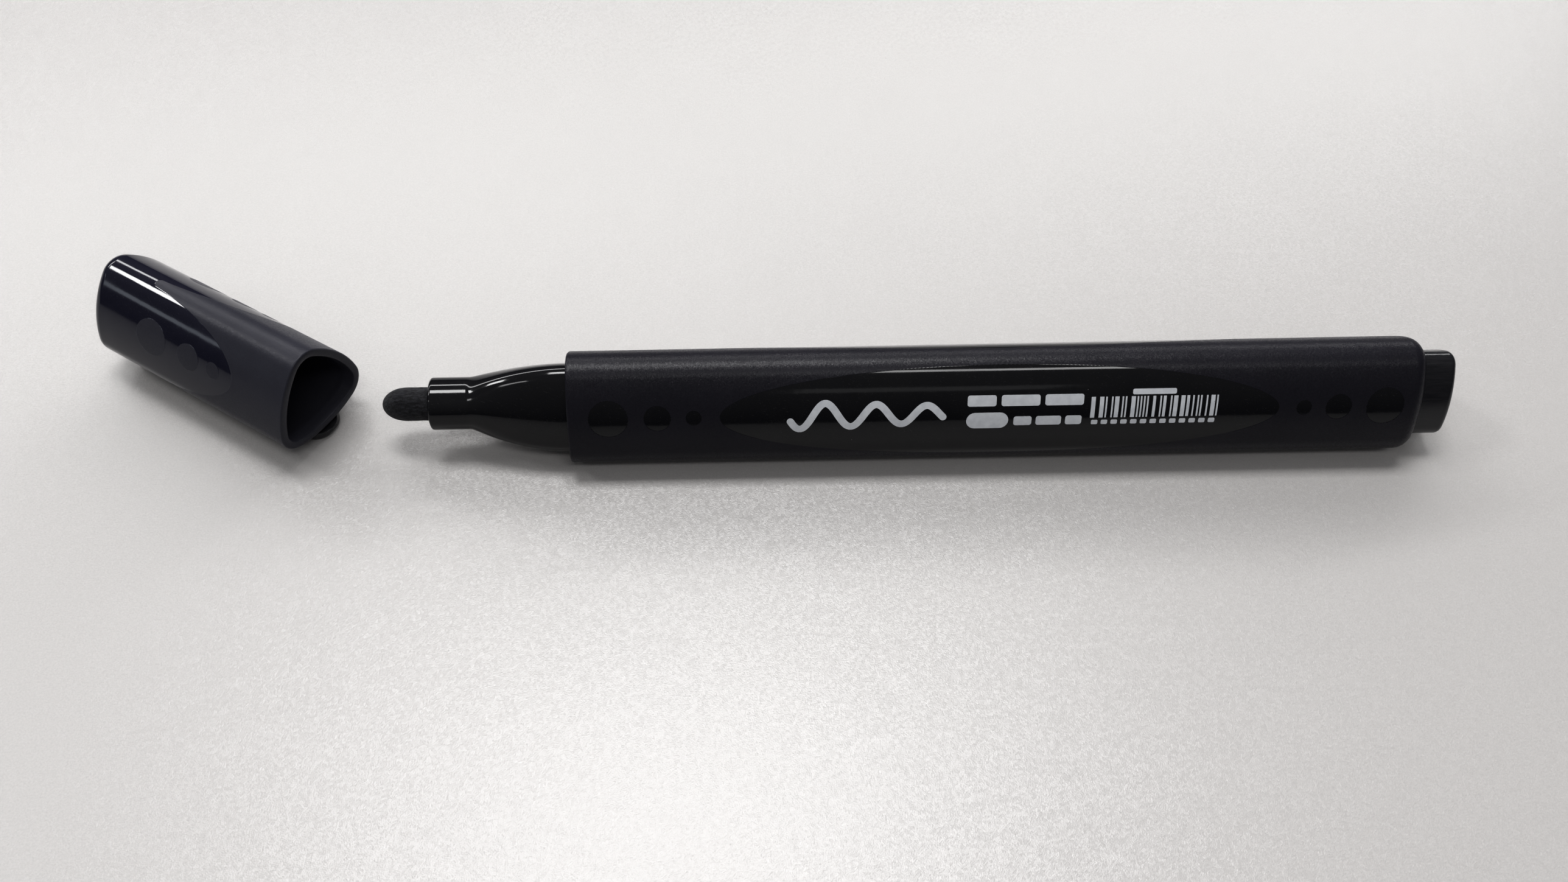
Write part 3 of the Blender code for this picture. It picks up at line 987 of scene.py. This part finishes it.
def inked_felt(name, light=(0.034, 0.034, 0.04)):
    """Pressed felt full of black ink: matted fibres that run along the nib."""
    finish = Finish(name, Sheen_Weight=0.12, Sheen_Roughness=0.5, Specular_IOR_Level=0.25)
    strand = finish.noise(1.0, 4.0, 0.65, finish.stretched(1.6, 4.5), 0.6)
    fuzz = finish.noise(11.0, 3.0, 0.7)
    wet = finish.noise(0.7, 2.0, 0.5)
    tuft = finish.math("ADD", finish.times(strand, 0.65), finish.times(fuzz, 0.35))
    finish.colour(finish.ramp(tuft, 0.46, 0.68), (0.003, 0.003, 0.0045), light)
    finish.set("Roughness", finish.ramp(wet, 0.35, 0.7, 0.72, 0.95))
    finish.set("Normal", finish.bump(tuft, 0.16))
    return finish.done()


def fibre_core(name):
    """The reservoir's fibre bundle, soaked with black ink."""
    finish = Finish(name, Sheen_Weight=0.2, Specular_IOR_Level=0.2)
    strand = finish.noise(1.0, 4.0, 0.7, finish.stretched(0.15, 9.0), 0.4)
    finish.colour(finish.ramp(strand, 0.4, 0.65), (0.008, 0.008, 0.01), (0.06, 0.06, 0.07))
    finish.set("Roughness", finish.ramp(strand, 0.3, 0.7, 0.8, 0.98))
    finish.set("Normal", finish.bump(strand, 0.12))
    return finish.done()


def wrapped_film(name):
    """Thin pale film, a little creased, round the reservoir."""
    finish = Finish(name, Specular_IOR_Level=0.5)
    crease = finish.noise(1.0, 3.0, 0.6, finish.stretched(0.35, 1.6), 0.8)
    haze = finish.noise(0.4, 3.0, 0.6)
    finish.colour(finish.ramp(haze, 0.35, 0.7), (0.52, 0.53, 0.55), (0.62, 0.62, 0.63))
    finish.set("Roughness", finish.ramp(crease, 0.3, 0.7, 0.18, 0.36))
    finish.set("Normal", finish.bump(crease, 0.05))
    return finish.done()


def seal_plastic(name):
    """Soft black plastic, rubbed round by the nozzle."""
    finish = Finish(name, Specular_IOR_Level=0.45)
    rubbed = finish.noise(1.0, 3.0, 0.6, finish.stretched(3.0, 0.5))
    fine = finish.noise(6.0, 1.0, 0.5)
    finish.colour(finish.ramp(rubbed, 0.35, 0.7), (0.012, 0.012, 0.014), (0.02, 0.02, 0.023))
    finish.set("Roughness", finish.ramp(rubbed, 0.3, 0.7, 0.36, 0.5))
    finish.set("Normal", finish.bump(fine, 0.006))
    return finish.done()


def print_ink(name):
    """Light grey printing ink: uneven cover, with pinholes that show the black under it."""
    finish = Finish(name, Specular_IOR_Level=0.4)
    cover = finish.noise(1.1, 3.0, 0.6)
    pin = finish.dust(1.8, 0.10, 0.09)
    thin, full = (0.49, 0.505, 0.53), (0.57, 0.585, 0.605)
    base = finish.mix(finish.ramp(cover, 0.35, 0.7), thin, full)
    finish.colour(finish.times(pin, 0.8), base, (0.03, 0.03, 0.03))
    finish.set("Roughness", finish.ramp(cover, 0.3, 0.7, 0.42, 0.55))
    finish.set("Normal", finish.bump(finish.noise(9.0, 1.0), 0.004))
    return finish.done()


def pale_table(name):
    """A pale table top: a fine speckle, faint clouds, tiny facets and a soft sheen."""
    finish = Finish(name, IOR=1.6, Sheen_Weight=0.7, Sheen_Roughness=0.4)
    speck = finish.noise(4.5, 2.0, 0.6)
    cloud = finish.noise(0.012, 3.0, 0.5)
    dark, light = (0.362, 0.352, 0.346), (0.402, 0.390, 0.382)
    base = finish.mix(finish.ramp(speck, 0.3, 0.7), dark, light)
    finish.colour(finish.ramp(cloud, 0.3, 0.7, 0.0, 0.25), base, (0.425, 0.413, 0.405))
    finish.set("Roughness", finish.ramp(speck, 0.3, 0.7, 0.29, 0.38))
    under = finish.bump(finish.noise(6.0, 1.0, 0.5), 0.025, 0.8)
    finish.set("Normal", finish.facets(3.6, 0.09, under))
    return finish.done()


def make_floor():
    mesh = bmesh.new()
    bmesh.ops.create_grid(mesh, x_segments=12, y_segments=12, size=TABLE_REACH)
    data = bpy.data.meshes.new("table_top")
    mesh.to_mesh(data)
    mesh.free()
    data.materials.append(pale_table("table_finish"))
    top = bpy.data.objects.new("table_top", data)
    bpy.context.scene.collection.objects.link(top)


def area_light(name, place, size, power):
    """A rectangular light at a place in metres, facing down until it is turned."""
    lamp = bpy.data.lights.new(name, "AREA")
    lamp.shape, lamp.energy = "RECTANGLE", power
    lamp.size, lamp.size_y = size
    made = bpy.data.objects.new(name, lamp)
    made.location = place
    bpy.context.scene.collection.objects.link(made)
    return made


def make_lights():
    for name, place, size, power in CEILING_PANELS:
        spot = Vector((*place, 1)) * CEILING_HEIGHT
        area_light(name, spot, Vector(size) * CEILING_HEIGHT, power)
    for name, direction, distance, size, power, colour, in_gloss in FACING_PANELS:
        aim = Vector(direction).normalized()
        panel = area_light(name, aim * distance, size, power)
        panel.data.color = colour
        panel.rotation_mode = "QUATERNION"
        panel.rotation_quaternion = aim.to_track_quat("Z", "Y")
        panel.visible_glossy = in_gloss


def make_room():
    """A world that is dark near the horizon and soft grey overhead."""
    world = bpy.data.worlds.new("room")
    bpy.context.scene.world = world
    world.use_nodes = True
    nodes, links = world.node_tree.nodes, world.node_tree.links
    place = nodes.new("ShaderNodeTexCoord")
    split = nodes.new("ShaderNodeSeparateXYZ")
    grade = nodes.new("ShaderNodeValToRGB")
    for stop, (position, colour) in zip(grade.color_ramp.elements, ROOM_GRADE):
        stop.position, stop.color = position, colour
    links.new(place.outputs["Generated"], split.inputs[0])
    links.new(split.outputs["Z"], grade.inputs[0])
    links.new(grade.outputs["Color"], nodes["Background"].inputs["Color"])
    nodes["Background"].inputs["Strength"].default_value = 1.0


def make_camera():
    data = bpy.data.cameras.new("camera")
    data.lens = CAMERA_LENS
    data.clip_start = 0.01
    camera = bpy.data.objects.new("camera", data)
    camera.matrix_world = (
        Matrix.Translation(Vector(CAMERA_PLACE) * MM)
        @ Matrix.Rotation(-math.radians(CAMERA_YAW), 4, "Z")
        @ Matrix.Rotation(math.radians(90 - CAMERA_DOWN), 4, "X")
        @ Matrix.Rotation(math.radians(CAMERA_ROLL), 4, "Z")
    )
    bpy.context.scene.collection.objects.link(camera)
    bpy.context.scene.camera = camera


marker_frame = (
    Matrix.Translation((0, 0, BARREL_MIDDLE * math.cos(AXIS_SLOPE) * MM))
    @ Matrix.Rotation(-AXIS_SLOPE, 4, "Y")
)
cap_height = CAP_MOUTH * math.cos(CAP_SLOPE) + CLIP_PROUD
cap_frame = (
    Matrix.Translation(Vector((*CAP_PLACE, cap_height)) * MM)
    @ Matrix.Rotation(CAP_YAW, 4, "Z")
    @ Matrix.Rotation(-CAP_SLOPE, 4, "Y")
)
clip_frame = (
    cap_frame
    @ Matrix.Translation(Vector((CLIP_ROOT, 0, -cap_apothem(CLIP_ROOT))) * MM)
    @ Matrix.Rotation(CAP_SLOPE, 4, "Y")
)

barrel_matte = spark_eroded(
    "barrel_matte_black", (0.0092, 0.0086, 0.0130), (0.0120, 0.0112, 0.0165), 0.13
)
cap_matte = spark_eroded(
    "cap_matte_black", (0.025, 0.025, 0.034), (0.031, 0.031, 0.041), 0.05
)
barrel_gloss = polished_black(
    "polished_black", (0.0040, 0.0040, 0.0052), (0.0055, 0.0054, 0.0066), 0.43
)
cap_gloss = polished_black(
    "polished_blue_black", (0.0080, 0.0080, 0.0170), (0.0105, 0.0103, 0.0200), 0.5
)
nib_felt = inked_felt("inked_felt")
fibre_felt = inked_felt("loose_fibre", (0.12, 0.12, 0.125))
plug_black = satin_black("plug_black", 0.2)
ink = print_ink("light_ink")
clip_black = satin_black("clip_black", 0.34)

# How it is made, its frame, its materials, its body, the CAD nodes it replaces, and its slot.
PIECES = (
    (make_barrel, marker_frame, [barrel_matte, barrel_gloss],
     "barrel", ["barrel"], "barrel_plastic"),
    (make_front_section, marker_frame, [barrel_gloss],
     "barrel", ["front_section"], "gloss_plastic"),
    (make_nib, marker_frame, [nib_felt], "barrel", ["nib"], "nib_felt"),
    (make_fibres, marker_frame, [fibre_felt], "barrel", [], "nib_felt"),
    (make_rear_plug, marker_frame, [plug_black], "barrel", ["rear_plug"], "gloss_plastic"),
    (make_print, marker_frame, [ink], "barrel", [], None),
    (make_cap, cap_frame, [cap_matte, cap_gloss], "cap", ["cap_shell"], "cap_plastic"),
    (make_clip, clip_frame, [clip_black], "clip", ["cap_clip"], "cap_plastic"),
)
for make, place, materials, body, nodes, slot in PIECES:
    piece = make(place, materials)
    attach(piece, body)
    if nodes:
        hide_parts(*nodes)

# CAD nodes that stay: each with its material and its slot.
KEPT = (
    ("ink_reservoir", fibre_core("fibre_core"), "ink_fibre"),
    ("reservoir_sleeve", wrapped_film("wrapped_film"), "film"),
    ("cap_seal", seal_plastic("seal_black"), "seal_plastic"),
)
for name, material, slot in KEPT:
    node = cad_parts[name]
    node.data.materials.clear()
    node.data.materials.append(material)

make_floor()
make_room()
make_lights()
make_camera()
bpy.context.scene.view_settings.view_transform = "Standard"
bpy.context.scene.view_settings.gamma = PICTURE_GAMMA
bpy.context.scene.view_settings.exposure = PICTURE_EXPOSURE
